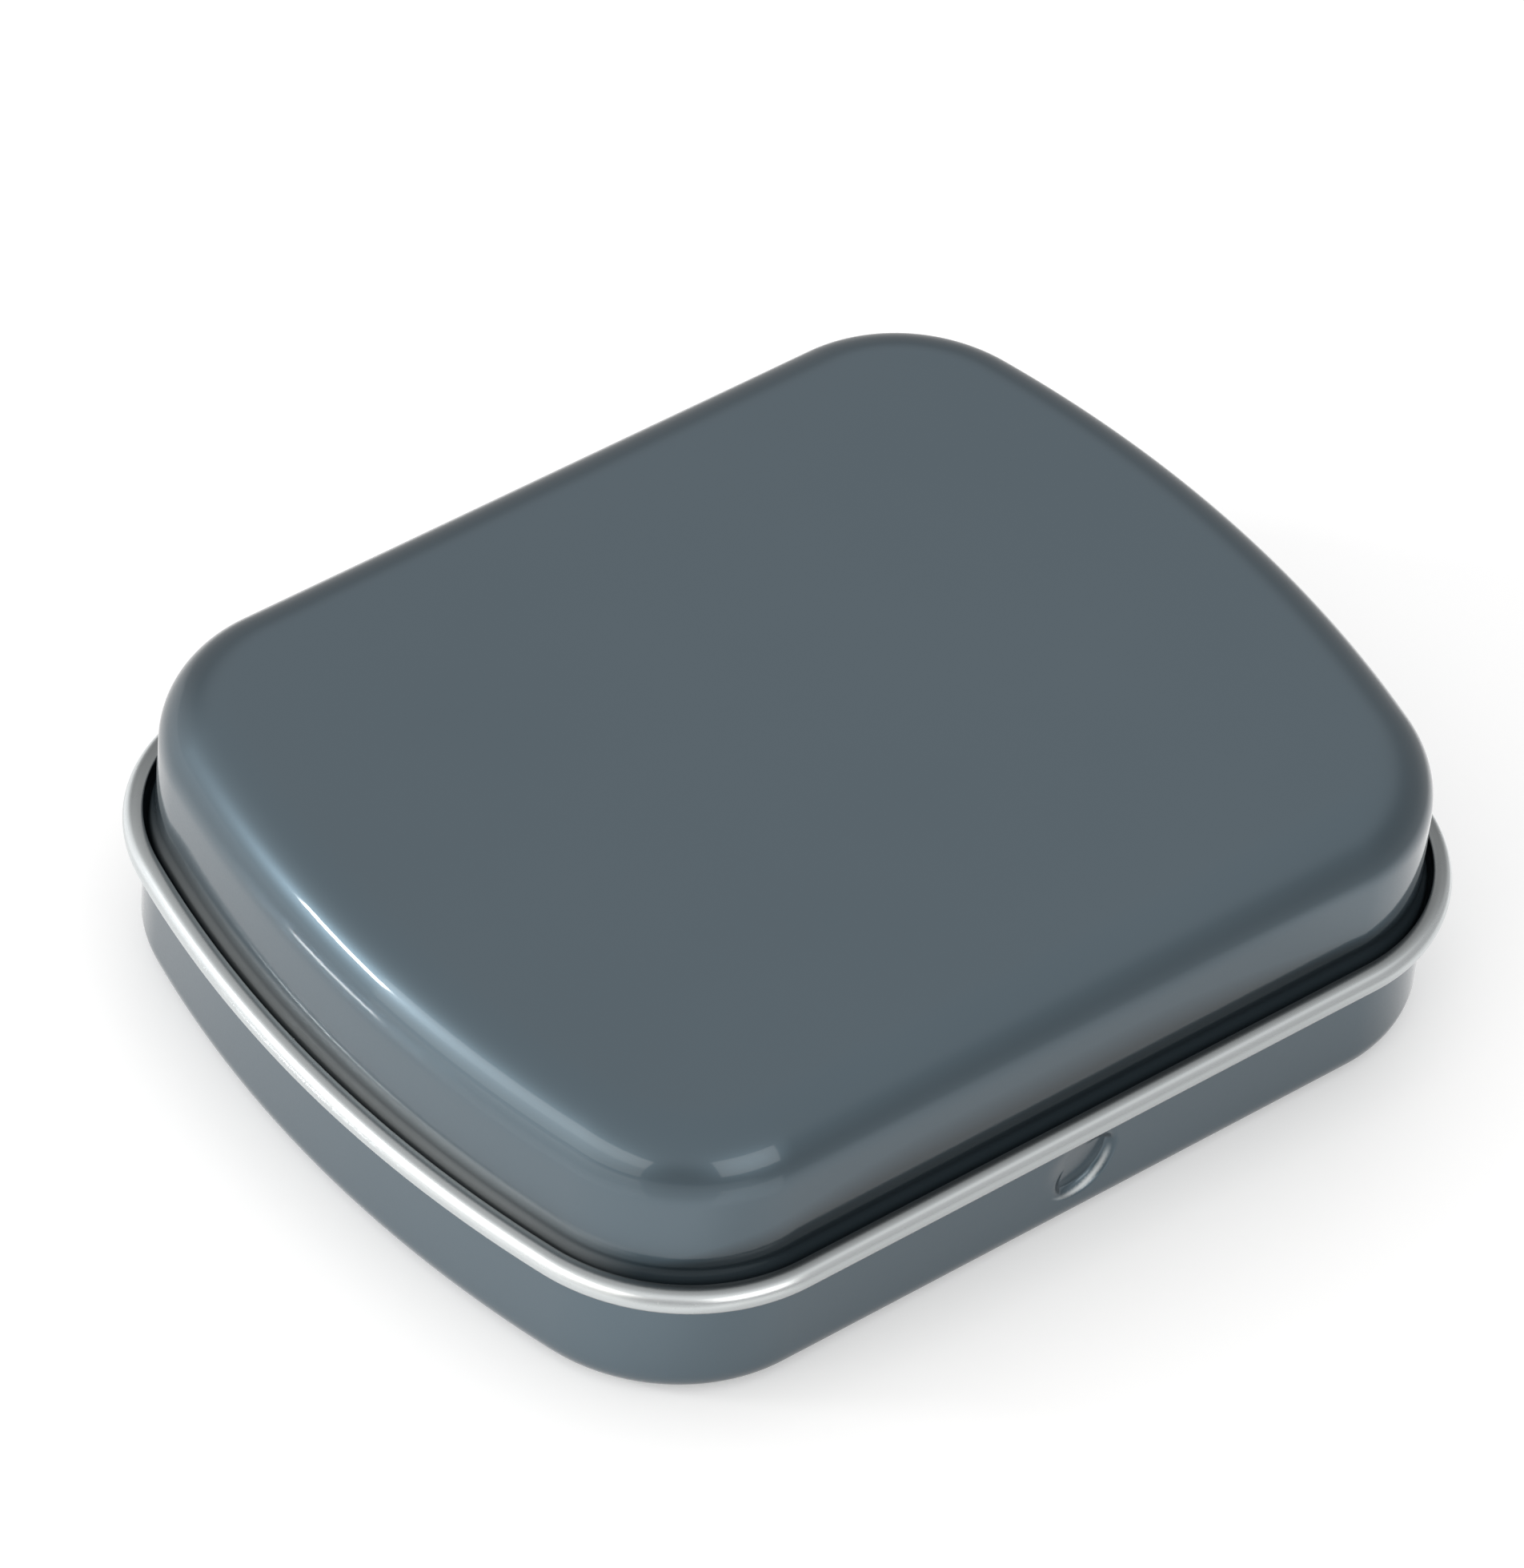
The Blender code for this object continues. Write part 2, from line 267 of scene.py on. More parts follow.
# Lamps: azimuth, elevation and half width and height in degrees, then radiance and colour
LAMP_DISTANCE = 0.8
WATTS_PER_RADIANCE = 4
SOFT_BOX = (-89.5, 28, 29.5, 8, 1.6, (1.0, 0.95, 0.90))
LOW_BOX = (-89.5, 11.5, 29.5, 8.5, 0.85, (1.0, 0.95, 0.90))
STRIP_BOX = (-125.5, 21, 4.8, 1.8, 42.0, (1.0, 1.0, 1.0))
FRONT_BOX = (0, 25, 17, 13, 1.3, (1.0, 0.97, 0.94))


def arc(centre, radius, start, end, steps):
    """Points round a centre from one angle to another in degrees, both ends included."""
    angles = [math.radians(start + (end - start) * i / steps) for i in range(steps + 1)]
    return [(centre[0] + radius * math.cos(a), centre[1] + radius * math.sin(a)) for a in angles]


def smooth(share):
    """Eases a share from 0 to 1 with level ends."""
    share = min(max(share, 0), 1)
    return share * share * (3 - 2 * share)


def spread(breaks, step):
    """Values from the first break to the last, every break among them, at most a step apart."""
    breaks = sorted(breaks)
    values = [breaks[0]]
    for low, high in zip(breaks, breaks[1:]):
        count = max(1, math.ceil((high - low) / step))
        values += [low + (high - low) * i / count for i in range(1, count + 1)]
    return values


def round_columns(centre, radius, start, end, steps):
    """Plan points along an arc, each with the direction that leads inwards."""
    made = []
    for i in range(steps):
        angle = math.radians(start + (end - start) * i / steps)
        out = Vector((math.cos(angle), math.sin(angle), 0))
        made.append((Vector(centre) + out * radius, -out, ""))
    return made


def straight_columns(values, side):
    """Plan points along a long side, without the last one, which starts the next stretch."""
    y = HALF_WIDTH if side == "back" else -HALF_WIDTH
    inward = Vector((0, -1 if side == "back" else 1, 0))
    return [(Vector((x, y, 0)), inward, side) for x in values[:-1]]


def plan_columns():
    """Points round the plan over the bead, anticlockwise from the right end."""
    lean = math.degrees(math.atan2(CORNER_Y, CORNER_X - END_CENTRE))
    back_breaks = [-CORNER_X, CORNER_X]
    for x in (-TAB_X, TAB_X):
        for half in (TAB_HALF, NECK_WINDOW_HALF, LID_WINDOW_HALF):
            back_breaks += [x - half, x + half]
    back = list(reversed(spread(back_breaks, LONG_STEP)))
    reach = DISH_RADIUS + 2 * DISH_STEP
    fine = spread([-reach, reach], DISH_STEP)
    front = spread([-CORNER_X, -reach], LONG_STEP)[:-1] + fine
    front += spread([reach, CORNER_X], LONG_STEP)[1:]
    right, left = (END_CENTRE, 0, 0), (-END_CENTRE, 0, 0)
    made = round_columns(right, END_RADIUS, -lean, lean, END_STEPS)
    made += round_columns((CORNER_X, CORNER_Y, 0), CORNER_RADIUS, lean, 90, CORNER_STEPS)
    made += straight_columns(back, "back")
    made += round_columns((-CORNER_X, CORNER_Y, 0), CORNER_RADIUS, 90, 180 - lean, CORNER_STEPS)
    made += round_columns(left, END_RADIUS, 180 - lean, 180 + lean, END_STEPS)
    made += round_columns((-CORNER_X, -CORNER_Y, 0), CORNER_RADIUS, 180 + lean, 270, CORNER_STEPS)
    made += straight_columns(front, "front")
    made += round_columns((CORNER_X, -CORNER_Y, 0), CORNER_RADIUS, 270, 360 - lean, CORNER_STEPS)
    return made


def lid_section():
    """Painted face of the lid as (inset, height), from the flat top down to the curl."""
    edge_centre = (LID_WALL_INSET + LID_EDGE_RADIUS, HEIGHT - LID_EDGE_RADIUS)
    points = [(edge_centre[0] + LID_EDGE_RADIUS / EDGE_STEPS, HEIGHT)]
    points += arc(edge_centre, LID_EDGE_RADIUS, 90, 180, EDGE_STEPS)
    crease_top = BEAD_HEIGHT + CREASE_RISE
    wall_step = (edge_centre[1] - crease_top) / WALL_STEPS
    for z in reversed(spread([crease_top, edge_centre[1]], wall_step)[:-1]):
        points.append((LID_WALL_INSET, z))
    levels = spread([BEAD_HEIGHT, LID_WINDOW_TOP, crease_top], CREASE_RISE / CREASE_STEPS)
    for z in reversed(levels[1:-1]):
        ease = (1 - math.cos(math.pi * (crease_top - z) / CREASE_RISE)) / 2
        points.append((LID_WALL_INSET + (CREASE_INSET - LID_WALL_INSET) * ease, z))
    return points + arc((BEAD_RADIUS, BEAD_HEIGHT), CURL_RADIUS, 0, -LID_CURL_TURN, CURL_STEPS)


def panel_points():
    """The step round the floor panel, from the panel down to the standing ring."""
    inner, steps = PANEL_INSET + PANEL_SLOPE, SHOULDER_STEPS
    points = [(inner + PANEL_LIP, PANEL_RISE)]
    for i in range(steps + 1):
        points.append((inner - PANEL_SLOPE * i / steps, PANEL_RISE * (1 - smooth(i / steps))))
    return points + [(PANEL_INSET - PANEL_LIP, 0)]


def base_section():
    """Painted face of the base as (inset, height), from the floor panel up to the rim."""
    points = panel_points()
    edge_centre = (BASE_WALL_INSET + BASE_EDGE_RADIUS, BASE_EDGE_RADIUS)
    points += arc(edge_centre, BASE_EDGE_RADIUS, -90, -180, BOTTOM_EDGE_STEPS)
    for z in spread([BASE_EDGE_RADIUS, SHOULDER_HEIGHT], DISH_STEP)[1:-1]:
        points.append((BASE_WALL_INSET, z))
    points += arc((STEP_INSET, SHOULDER_HEIGHT), STEP_RADIUS, 180, 90, SHOULDER_STEPS)
    points += arc((STEP_INSET, NECK_FOOT), STEP_RADIUS, -90, 0, SHOULDER_STEPS)[1:]
    rim_foot = NECK_HEIGHT - RIM_RADIUS
    for z in spread([NECK_FOOT, NECK_WINDOW_TOP, rim_foot], LONG_STEP)[1:-1]:
        points.append((NECK_INSET, z))
    rim_centre = (NECK_INSET + RIM_RADIUS, rim_foot)
    return points + arc(rim_centre, RIM_RADIUS, 180, 180 - RIM_CURL_TURN, RIM_STEPS)


def tab_section():
    """Painted face of a hinge tab above the wall, up and round the wire."""
    points = []
    for i in range(1, TAB_STEM_STEPS):
        share = i / TAB_STEM_STEPS
        inset = BASE_WALL_INSET + (CREASE_INSET - BASE_WALL_INSET) * smooth(2 * share)
        points.append((inset, SHOULDER_HEIGHT + (BEAD_HEIGHT - SHOULDER_HEIGHT) * share))
    return points + arc((BEAD_RADIUS, BEAD_HEIGHT), CURL_RADIUS, 0, TAB_CURL_TURN, CURL_STEPS)


def dish_depth(x, z):
    """How deep the thumb dish is at a point of the front wall, most at its lower right."""
    away = math.hypot(x, z - DISH_HEIGHT) / DISH_RADIUS
    turned = math.atan2(z - DISH_HEIGHT, x) - math.radians(DISH_CRISP_SIDE)
    crisp = (1 + math.cos(turned)) / 2
    fade = DISH_CRISP_FULL_SHARE - DISH_CRISP_LEAST_SHARE
    crispness = smooth((crisp - DISH_CRISP_LEAST_SHARE) / fade)
    level = DISH_SOFT_SHARE + (DISH_CRISP_SHARE - DISH_SOFT_SHARE) * crispness
    bowl = 1 - DISH_BOWL_SHARE * min(away, 1) ** 2
    tilt = smooth((1 + min(away, 1) * math.cos(turned)) / 2)
    return DISH_DEPTH * bowl * tilt * (1 - smooth((away - level) / (1 - level)))


def near_dish(point, depth):
    """Whether a point of the front wall, that deep in its sheet, lies in or just round the dish."""
    away = math.hypot(point.x, point.z - DISH_HEIGHT)
    return away < DISH_RADIUS + DISH_STEP and point.y < NECK_INSET + depth + FINE - HALF_WIDTH


def refine_dish(edit):
    """Divides the front wall more finely where the thumb dish will be."""
    edges = [edge for edge in edit.edges if all(near_dish(v.co, 0) for v in edge.verts)]
    bmesh.ops.subdivide_edges(edit, edges=edges, cuts=DISH_CUTS, use_grid_fill=True)


def press_dish(sheet):
    """Presses the thumb dish into the painted face and the bare face of the front wall alike."""
    for face in sheet.polygons:
        depth = SHEET if face.material_index else 0
        for index in face.vertices:
            point = sheet.vertices[index].co
            if near_dish(point, depth):
                pressed = BASE_WALL_INSET + depth + dish_depth(point.x, point.z) - HALF_WIDTH
                point.y = max(point.y, pressed)


def place(edit, column, inset, height):
    """A vertex that far inside the plan outline."""
    return edit.verts.new(column[0] + column[1] * inset + Vector((0, 0, height)))


def near_tab(column_a, column_b, half):
    """Which tab's window, of that half width, a strip between two columns lies in."""
    if column_a[2] != "back" or column_b[0].y < HALF_WIDTH - FINE:
        return None
    middle = (column_a[0].x + column_b[0].x) / 2
    for x in (-TAB_X, TAB_X):
        if abs(middle - x) < half:
            return x
    return None


def first_row(section, height, start):
    """The first row from start on that has this height."""
    return next(j for j in range(start, len(section)) if abs(section[j][1] - height) < FINE)


def skin(columns, section, kept):
    """The painted face: rows of the section round the plan, and a plate across the middle."""
    edit = bmesh.new()
    grid = [[place(edit, c, *p) for p in section] for c in columns]
    count = len(columns)
    for i in range(count):
        k = (i + 1) % count
        for j in range(len(section) - 1):
            if kept(i, j):
                edit.faces.new((grid[i][j], grid[i][j + 1], grid[k][j + 1], grid[k][j]))
    edit.faces.new([column[0] for column in grid])
    return edit, grid


def lid_skin():
    """The lid's painted face, with the two hinge windows left open."""
    columns, section = plan_columns(), lid_section()
    window = first_row(section, LID_WINDOW_TOP, 0)

    def kept(i, j):
        following = columns[(i + 1) % len(columns)]
        return j < window or near_tab(columns[i], following, LID_WINDOW_HALF) is None

    return skin(columns, section, kept)[0]


def base_skin():
    """The base's painted face, with neck windows, the tabs that were cut from them, and fine
    division where the dish will be pressed.
    """
    columns, section = plan_columns(), base_section()
    low = first_row(section, SHOULDER_HEIGHT, 0)
    high = first_row(section, NECK_WINDOW_TOP, low)

    def kept(i, j):
        following = columns[(i + 1) % len(columns)]
        return not low <= j < high or near_tab(columns[i], following, NECK_WINDOW_HALF) is None

    edit, grid = skin(columns, section, kept)
    strip = tab_section()
    rolled = {}
    for i, column in enumerate(columns):
        k = (i + 1) % len(columns)
        if near_tab(column, columns[k], TAB_HALF) is None:
            continue
        for c in (i, k):
            if c not in rolled:
                rolled[c] = [grid[c][low]] + [place(edit, columns[c], *p) for p in strip]
        for j in range(len(strip)):
            edit.faces.new((rolled[i][j], rolled[i][j + 1], rolled[k][j + 1], rolled[k][j]))
    refine_dish(edit)
    return edit


def put(name, data):
    """A new object in the scene for that mesh, lamp or camera."""
    made = bpy.data.objects.new(name, data)
    bpy.context.scene.collection.objects.link(made)
    return made


def as_sheet(name, edit, materials, press=None):
    """Turns a painted face into sheet of its real thickness, with softened cut edges."""
    loose = [v for v in edit.verts if not v.link_faces]
    bmesh.ops.delete(edit, geom=loose, context="VERTS")
    bmesh.ops.recalc_face_normals(edit, faces=edit.faces)
    mesh = bpy.data.meshes.new(name + "_skin")
    edit.to_mesh(mesh)
    edit.free()
    carrier = put(name + "_skin", mesh)
    for material in materials:
        mesh.materials.append(material)
    solidify = carrier.modifiers.new("sheet", "SOLIDIFY")
    solidify.thickness = SHEET
    solidify.offset = -1
    solidify.use_even_offset = True
    solidify.use_quality_normals = True
    solidify.material_offset = 1
    solidify.material_offset_rim = 2
    soften = carrier.modifiers.new("cut_edges", "BEVEL")
    soften.width = SHEET * SOFT_EDGE_SHARE
    soften.segments = SOFT_EDGE_SEGMENTS
    soften.limit_method = "ANGLE"
    soften.angle_limit = math.radians(SOFT_EDGE_ANGLE)
    bpy.context.view_layer.update()
    evaluated = carrier.evaluated_get(bpy.context.evaluated_depsgraph_get())
    sheet = bpy.data.meshes.new_from_object(evaluated)
    bpy.data.objects.remove(carrier)
    sheet.name = name
    if press is not None:
        press(sheet)
    sheet.shade_smooth()
    sheet.set_sharp_from_angle(angle=math.radians(SHARP_ANGLE))
    return put(name, sheet)


def hinge_wire(name, material):
    """The drawn wire, turned round its axis, with chamfered ends."""
    chamfer = PIN_RADIUS * PIN_CHAMFER_SHARE
    half = (PIN_HIGH.x - PIN_LOW.x) / 2
    ends = [(-half, 0), (-half, PIN_RADIUS - chamfer), (-half + chamfer, PIN_RADIUS)]
    ends += [(-x, r) for x, r in reversed(ends)]
    edit = bmesh.new()
    chain = [edit.verts.new((x, r, 0)) for x, r in ends]
    edges = [edit.edges.new(pair) for pair in zip(chain, chain[1:])]
    bmesh.ops.spin(edit, geom=chain + edges, axis=(1, 0, 0), cent=(0, 0, 0),
                   angle=math.tau, steps=PIN_SEGMENTS, use_duplicate=False)
    bmesh.ops.remove_doubles(edit, verts=edit.verts, dist=FINE)
    bmesh.ops.recalc_face_normals(edit, faces=edit.faces)
    mesh = bpy.data.meshes.new(name)
    edit.to_mesh(mesh)
    edit.free()
    mesh.transform(Matrix.Translation(PIN_CENTRE))
    mesh.materials.append(material)
    mesh.shade_smooth()
    mesh.set_sharp_from_angle(angle=math.radians(SHARP_ANGLE))
    return put(name, mesh)


class Nodes:
    """Short calls for building one material's node tree."""

    def __init__(self, name):
        self.material = bpy.data.materials.new(name)
        self.material.use_nodes = True
        self.tree = self.material.node_tree
        self.shader = self.tree.nodes["Principled BSDF"]
        self.space = self.tree.nodes.new("ShaderNodeTexCoord").outputs["Object"]

    def link(self, source, target):
        self.tree.links.new(source, target)

    def feed(self, target, value):
        """Links a socket, or sets a fixed value, on an input."""
        if isinstance(value, bpy.types.NodeSocket):
            self.link(value, target)
        else:
            target.default_value = value

    def noise(self, scale, detail, vector=None):
        """A noise value between 0 and 1, over object coordinates unless others are given."""
        node = self.tree.nodes.new("ShaderNodeTexNoise")
        node.inputs["Scale"].default_value = scale
        node.inputs["Detail"].default_value = detail
        self.link(self.space if vector is None else vector, node.inputs["Vector"])
        return node.outputs["Fac"]

    def lines(self, factors, detail):
        """A noise value over object coordinates that are multiplied by a factor along each axis."""
        node = self.tree.nodes.new("ShaderNodeMapping")
        node.inputs["Scale"].default_value = factors
        self.link(self.space, node.inputs["Vector"])
        return self.noise(1, detail, node.outputs["Vector"])

    def part(self, axis):
        """One of the three object coordinates."""
        node = self.tree.nodes.new("ShaderNodeSeparateXYZ")
        self.link(self.space, node.inputs["Vector"])
        return node.outputs[axis]

    def between(self, value, start, end, kind="LINEAR"):
        """Maps a value to 0 at start and 1 at end, no further either way."""
        node = self.tree.nodes.new("ShaderNodeMapRange")
        node.interpolation_type = kind
        node.inputs["From Min"].default_value = start
        node.inputs["From Max"].default_value = end
        self.link(value, node.inputs["Value"])
        return node.outputs["Result"]

    def eased(self, value, start, end):
        """Like between, with level ends."""
        return self.between(value, start, end, "SMOOTHSTEP")

    def ramp(self, value, low, high):
        """Maps a value from 0 to 1 to the range given."""
        node = self.tree.nodes.new("ShaderNodeMapRange")
        node.inputs["To Min"].default_value = low
        node.inputs["To Max"].default_value = high
        self.link(value, node.inputs["Value"])
        return node.outputs["Result"]

    def mix_colour(self, share, first, second):
        """A colour between two, by a share."""
        node = self.tree.nodes.new("ShaderNodeMix")
        node.data_type = "RGBA"
        share_socket, first_socket, second_socket = [i for i in node.inputs if i.enabled]
        self.feed(share_socket, share)
        self.feed(first_socket, first)
        self.feed(second_socket, second)
        return next(o for o in node.outputs if o.enabled)

    def math(self, operation, *values):
        """The result of one sum on sockets or numbers."""
        node = self.tree.nodes.new("ShaderNodeMath")
        node.operation = operation
        for socket, value in zip(node.inputs, values):
            self.feed(socket, value)
        return node.outputs["Value"]

    def vector(self, operation, *values):
        """The result of one vector sum on sockets or fixed vectors."""
        node = self.tree.nodes.new("ShaderNodeVectorMath")
        node.operation = operation
        for socket, value in zip(node.inputs, values):
            self.feed(socket, value)
        return next(o for o in node.outputs if o.enabled)

    def bump(self, height, distance, strength):
        """A bump of that height."""
        node = self.tree.nodes.new("ShaderNodeBump")
        node.inputs["Distance"].default_value = distance
        node.inputs["Strength"].default_value = strength
        self.link(height, node.inputs["Height"])
        return node.outputs["Normal"]


def painted_fold_highlight(n):
    """Where a painted highlight of pale tin colour lies along the fold at the lower right of the
    thumb dish, from 0 to 1.
    """
    shifted = n.vector("SUBTRACT", n.space, (PAINTED_FOLD_HIGHLIGHT_ASIDE, 0, DISH_HEIGHT))
    flat = n.vector("MULTIPLY", shifted, (1, 0, 1))
    away = n.vector("LENGTH", flat)
    middle = math.radians(PAINTED_FOLD_HIGHLIGHT_MIDDLE)
    along = n.vector("DOT_PRODUCT", flat, (math.cos(middle), 0, math.sin(middle)))
    off_fold = n.math("ABSOLUTE", n.math("SUBTRACT", away, DISH_RADIUS * PAINTED_FOLD_HIGHLIGHT_SHARE))
    ragged = n.noise(*RAGGED)
    width = n.ramp(ragged, PAINTED_FOLD_HIGHLIGHT_WIDTH / 2, PAINTED_FOLD_HIGHLIGHT_WIDTH)
    on_fold = n.eased(n.math("DIVIDE", off_fold, width), 1, 0)
    on_side = n.eased(n.math("DIVIDE", along, away), math.cos(math.radians(PAINTED_FOLD_HIGHLIGHT_HALF)), 1)
    in_front = n.math("LESS_THAN", n.part(1), -BASE_HIGH.y / 2)
    highlit = n.math("MULTIPLY", n.math("MULTIPLY", on_fold, on_side), in_front)
    return n.math("MULTIPLY", highlit, PAINTED_FOLD_HIGHLIGHT_STRENGTH)


def painted_groove_shade(n):
    """Painted shade at the foot of the lid's wall: how much of the paint's colour is left, from
    dark to 1.
    """
    aside = n.math("ABSOLUTE", n.math("SUBTRACT", n.part(0), GROOVE_MIDDLE))
    along_front = n.eased(aside, GROOVE_END, GROOVE_FLAT)
    front_wall = -HALF_WIDTH + LID_WALL_INSET + SHEET
    on_front = n.eased(n.part(1), -CORNER_Y - CORNER_RADIUS / 2, front_wall)
    swell = n.math("MULTIPLY", n.math("MULTIPLY", along_front, on_front), GROOVE_SWELL)
    reach = n.math("ADD", swell, GROOVE_REACH)
    rise = n.math("SUBTRACT", n.part(2), BEAD_HEIGHT)
    above = n.between(n.math("DIVIDE", rise, reach), GROOVE_FOOT_SHARE, 1)
    return n.math("MAXIMUM", above, GROOVE_LEAST)


def groove_gloss(n):
    """How metallic the paint looks, less so where dust dulls the crease over the bead."""
    top = BEAD_HEIGHT + CREASE_RISE * CREASE_DUST_SHARE
    return n.ramp(n.eased(n.part(2), BEAD_HEIGHT, top), CREASE_METAL, ENAMEL_METAL)


def painted_foot_light(n):
    """Where painted light pales the enamel at the foot of the two ends, from 0 to 1."""
    rise = n.math("SUBTRACT", n.part(2), BEAD_HEIGHT)
    over_foot = n.eased(rise, FOOT_LIGHT_LOW - FOOT_LIGHT_FADE, FOOT_LIGHT_LOW)
    under_top = n.eased(rise, FOOT_LIGHT_TOP + FOOT_LIGHT_FADE, FOOT_LIGHT_TOP)
    at_end = n.eased(n.math("ABSOLUTE", n.part(0)), FOOT_LIGHT_START, FOOT_LIGHT_END)
    pale_share = n.math("MULTIPLY", n.math("MULTIPLY", over_foot, under_top), at_end)
    return n.math("MULTIPLY", pale_share, FOOT_LIGHT_STRENGTH)


def painted_bead_shade(n):
    """How much of the tin's colour is left under the painted shade over the top of the bead."""
    rise = n.math("DIVIDE", n.math("SUBTRACT", n.part(2), BEAD_HEIGHT), BEAD_RADIUS)
    on_top = n.between(rise, BEAD_SHADE_START_SHARE, 1)
    on_bead = n.math("LESS_THAN", rise, 1 + SHEET / BEAD_RADIUS)
    along = n.ramp(n.eased(n.part(0), *BEAD_SHADE_FADE), BEAD_SHADE_STRENGTH * BEAD_SHADE_LEAST_SHARE, BEAD_SHADE_STRENGTH)
    shaded = n.math("MULTIPLY", n.math("MULTIPLY", on_top, on_bead), along)
    return n.math("SUBTRACT", 1, shaded)


def painted_bead_highlight(n):
    """Where a painted highlight brightens the upper outer side of the bead, from 0 to 1."""
    rise = n.math("DIVIDE", n.math("SUBTRACT", n.part(2), BEAD_HEIGHT), BEAD_RADIUS)
    return n.math("MULTIPLY", n.eased(rise, *BEAD_HIGHLIGHT_LOW), n.eased(rise, *BEAD_HIGHLIGHT_HIGH))


def grey_enamel(name, shade=None, painted_light=None, gloss=None):
    """Slate grey enamel on tin: a faint orange peel, a fine metal grain and a gloss coat."""
    n = Nodes(name)
    peel, grain, cloud = n.noise(*PEEL), n.noise(*GRAIN), n.noise(*CLOUD)
    colour = n.mix_colour(cloud, ENAMEL_DEEP, ENAMEL_PALE)
    # Painted shade: the colour mixed towards black where the mask says
    if shade is not None:
        colour = n.mix_colour(shade(n), BLACK, colour)
    # Painted light: a pale tin colour mixed into the enamel where the mask says
    if painted_light is not None:
        colour = n.mix_colour(painted_light(n), colour, PAINTED_LIGHT_TIN)
    n.link(colour, n.shader.inputs["Base Color"])
    n.link(n.ramp(grain, *ENAMEL_ROUGHNESS), n.shader.inputs["Roughness"])
    n.link(n.bump(peel, *PEEL_BUMP), n.shader.inputs["Normal"])
    n.shader.inputs["Metallic"].default_value = ENAMEL_METAL
    if gloss is not None:
        n.link(gloss(n), n.shader.inputs["Metallic"])
    n.shader.inputs["Specular Tint"].default_value = ENAMEL_TINT
    n.shader.inputs["Coat Weight"].default_value = 1.0
    n.shader.inputs["Coat Roughness"].default_value = COAT_ROUGHNESS
    n.shader.inputs["Coat IOR"].default_value = COAT_IOR
    return n.material


def bare_tinplate(name, shade=None, painted_highlight=None):
    """The bright tin face of the sheet, with the fine streaks of rolling."""
    n = Nodes(name)
    streak = n.lines(STREAK_STRETCH, STREAK_DETAIL)
    colour = n.mix_colour(n.noise(*BLOOM), TIN_DEEP, TIN_PALE)
    # Painted highlight: a bright tin colour mixed in where the mask says
    if painted_highlight is not None:
        colour = n.mix_colour(painted_highlight(n), colour, TIN_HIGHLIGHT)
    # Painted shade: the colour mixed towards black where the mask says
    if shade is not None:
        colour = n.mix_colour(shade(n), BLACK, colour)
    n.link(colour, n.shader.inputs["Base Color"])
    n.link(n.ramp(streak, *TIN_ROUGHNESS), n.shader.inputs["Roughness"])
    n.link(n.bump(streak, *STREAK_BUMP), n.shader.inputs["Normal"])
    n.shader.inputs["Metallic"].default_value = TIN_METAL
    return n.material


def bare_steel(n, pattern, colours, roughness, bump):
    """Plain steel whose colour, roughness and bumps all follow one pattern."""
    n.link(n.mix_colour(pattern, *colours), n.shader.inputs["Base Color"])
    n.link(n.ramp(pattern, *roughness), n.shader.inputs["Roughness"])
    n.link(n.bump(pattern, *bump), n.shader.inputs["Normal"])
    n.shader.inputs["Metallic"].default_value = 1.0
    return n.material


def cut_steel():
    """The sheared edge of the sheet, a little darker and rougher than its faces."""
    n = Nodes("cut_steel")
    tear = n.lines(TEAR_STRETCH, TEAR_DETAIL)
    return bare_steel(n, tear, (CUT_DEEP, CUT_PALE), CUT_ROUGHNESS, TEAR_BUMP)


def drawn_wire():
    """Drawn steel wire, with fine lines along its length."""
    n = Nodes("drawn_wire")
    line = n.lines(LINE_STRETCH, LINE_DETAIL)
    return bare_steel(n, line, (WIRE_DEEP, WIRE_PALE), WIRE_ROUGHNESS, LINE_BUMP)


def dress():
    """Builds the three pieces over the frame's solids."""
    edge = cut_steel()
    # Lid enamel: painted shade at the foot of its wall and painted light at its two ends
    lid_enamel = grey_enamel("lid_enamel", shade=painted_groove_shade, painted_light=painted_foot_light, gloss=groove_gloss)
    # Lid tin: painted shade over the top of the bead and a painted highlight on its outer side
    lid_inside = bare_tinplate("lid_tinplate", shade=painted_bead_shade, painted_highlight=painted_bead_highlight)
    # Base enamel: a painted highlight along the fold of the thumb dish
    base_enamel = grey_enamel("base_enamel", painted_light=painted_fold_highlight)
    base_inside = bare_tinplate("base_tinplate")
    lid = as_sheet("lid_sheet", lid_skin(), [lid_enamel, lid_inside, edge])
    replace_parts(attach(lid, "lid"), "lid")
    base = as_sheet("base_sheet", base_skin(), [base_enamel, base_inside, edge], press_dish)
    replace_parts(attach(base, "base"), "base")
    wire = hinge_wire("hinge_wire", drawn_wire())
    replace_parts(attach(wire, "lid"), "hinge_pin")


def direction(azimuth, elevation):
    """The way to a point of the studio: azimuth 0 is in front of the tin, -90 on its left."""
    a, e = math.radians(azimuth), math.radians(elevation)
    return Vector((math.sin(a) * math.cos(e), -math.cos(a) * math.cos(e), math.sin(e)))


